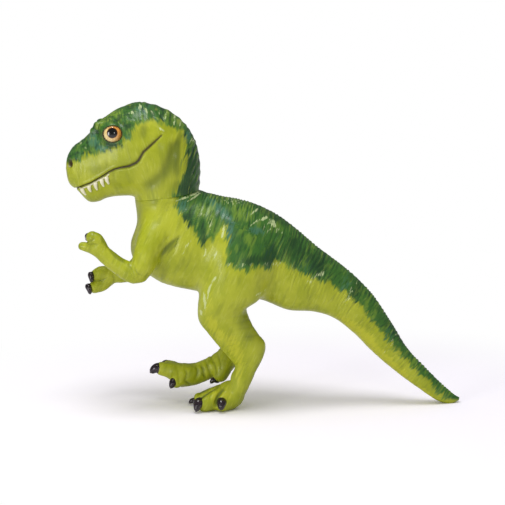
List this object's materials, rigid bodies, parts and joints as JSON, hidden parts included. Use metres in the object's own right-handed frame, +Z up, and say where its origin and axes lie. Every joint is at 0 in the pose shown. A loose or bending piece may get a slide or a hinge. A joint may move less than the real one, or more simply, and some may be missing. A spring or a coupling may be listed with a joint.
{
  "type": "toy dinosaur figure",
  "caption": "Hollow soft vinyl two-legged dinosaur in mid-step, standing on one foot and its tail tip, with a head that turns on a neck plug.",
  "frame": {"origin": "middle of the bounding box, on the floor that the figure stands on", "axes": "+X from the nose to the tail tip, +Y towards the figure's right side, +Z up"},
  "size_m": [0.192, 0.0542, 0.1492],
  "materials": {
    "green_vinyl": "soft vinyl with a satin to glossy skin, lime green with a dark green saddle painted on",
    "eye_enamel": "glossy cream to orange iris with a black pupil",
    "tooth_plastic": "cream, satin",
    "claw_enamel": "glossy near-black with a brown cast"
  },
  "bodies": {
    "trunk": {"body_shell": "green_vinyl", "left_leg": "green_vinyl", "right_leg": "green_vinyl", "left_arm": "green_vinyl", "right_arm": "green_vinyl", "left_inner_toe_claw": "claw_enamel", "left_middle_toe_claw": "claw_enamel", "left_outer_toe_claw": "claw_enamel", "left_dewclaw": "claw_enamel", "right_inner_toe_claw": "claw_enamel", "right_middle_toe_claw": "claw_enamel", "right_outer_toe_claw": "claw_enamel", "right_dewclaw": "claw_enamel", "left_upper_hand_claw": "claw_enamel", "left_lower_hand_claw": "claw_enamel", "right_upper_hand_claw": "claw_enamel", "right_lower_hand_claw": "claw_enamel"},
    "head": {"head_shell": "green_vinyl", "left_eye": "eye_enamel", "right_eye": "eye_enamel", "left_tooth_row": "tooth_plastic", "right_tooth_row": "tooth_plastic"}
  },
  "joints": [
    {"name": "neck_turn", "type": "hinge", "parent": "trunk", "child": "head", "pos_m": [-0.04773, 0.00066, 0.1048], "axis": [-0.1409, 0, 0.99], "continuous": true}
  ]
}
